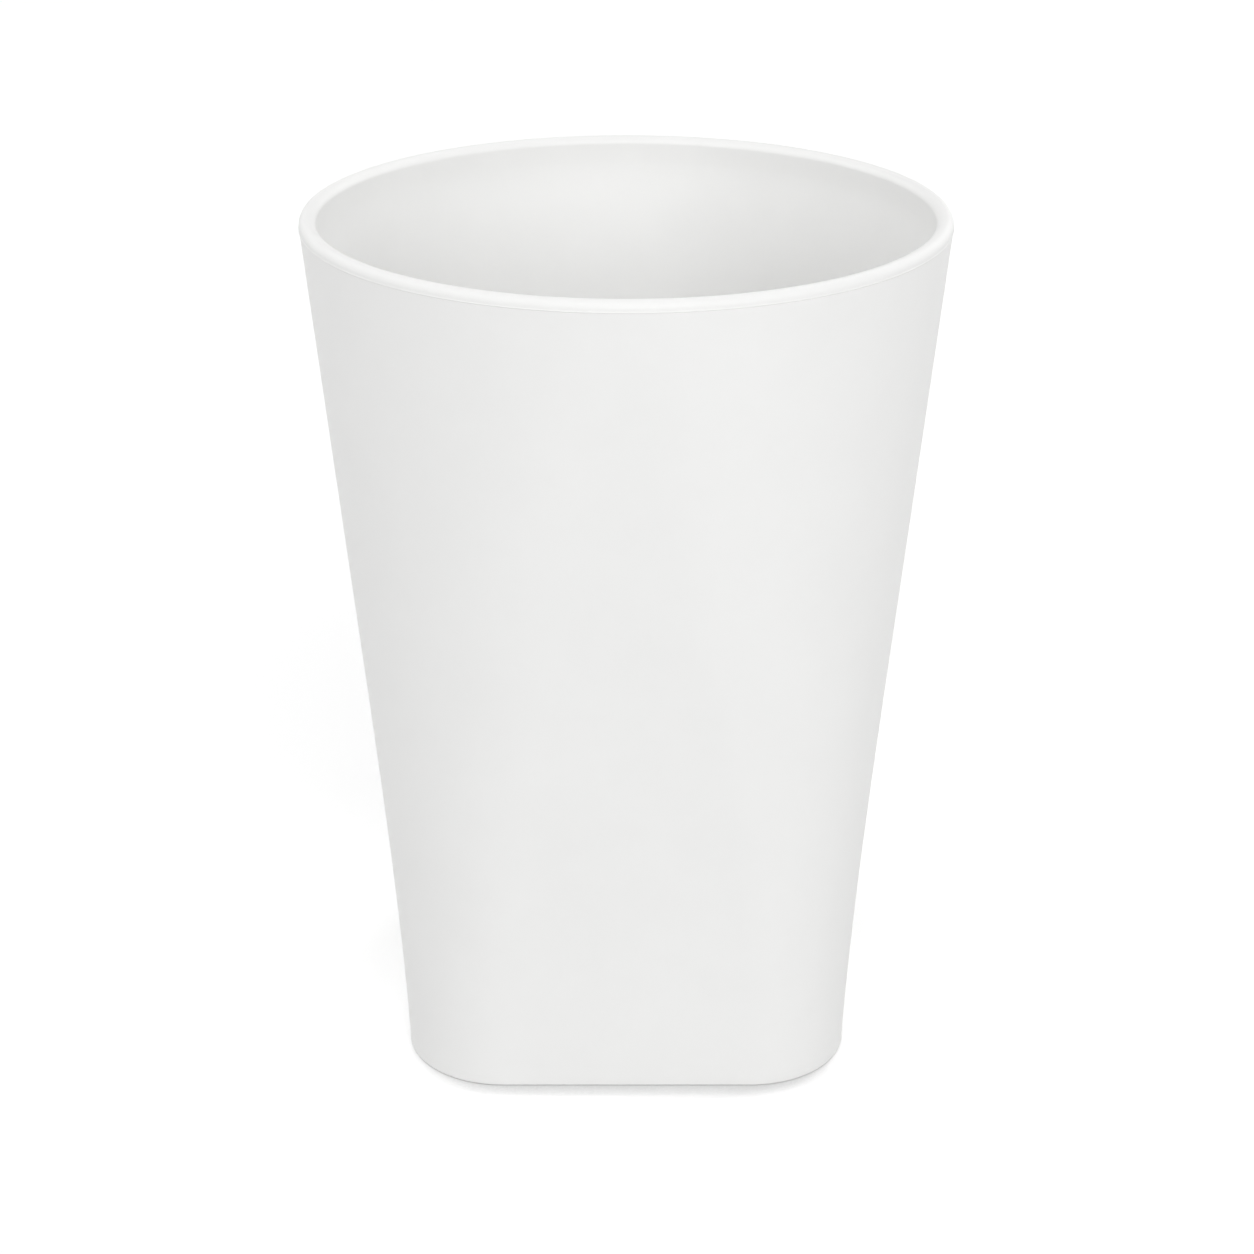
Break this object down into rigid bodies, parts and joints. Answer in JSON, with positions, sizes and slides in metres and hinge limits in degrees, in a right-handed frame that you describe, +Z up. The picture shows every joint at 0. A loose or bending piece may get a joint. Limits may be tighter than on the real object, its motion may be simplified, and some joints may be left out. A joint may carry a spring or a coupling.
{
  "type": "rinse cup",
  "caption": "Plain white plastic rinse cup for a washbasin: round mouth with a rounded lip and a fine parting seam, tapering wall that turns into a rounded-square foot.",
  "frame": {"origin": "middle of the underside, level with the ring that the cup stands on", "axes": "+Z up the axis of the cup, towards the mouth; the foot's flat sides face along X and Y"},
  "size_m": [0.08, 0.08, 0.108],
  "materials": {
    "white_polypropylene": "satin moulded polypropylene, plain white all through"
  },
  "bodies": {
    "root": {"cup": "white_polypropylene"}
  },
  "joints": []
}
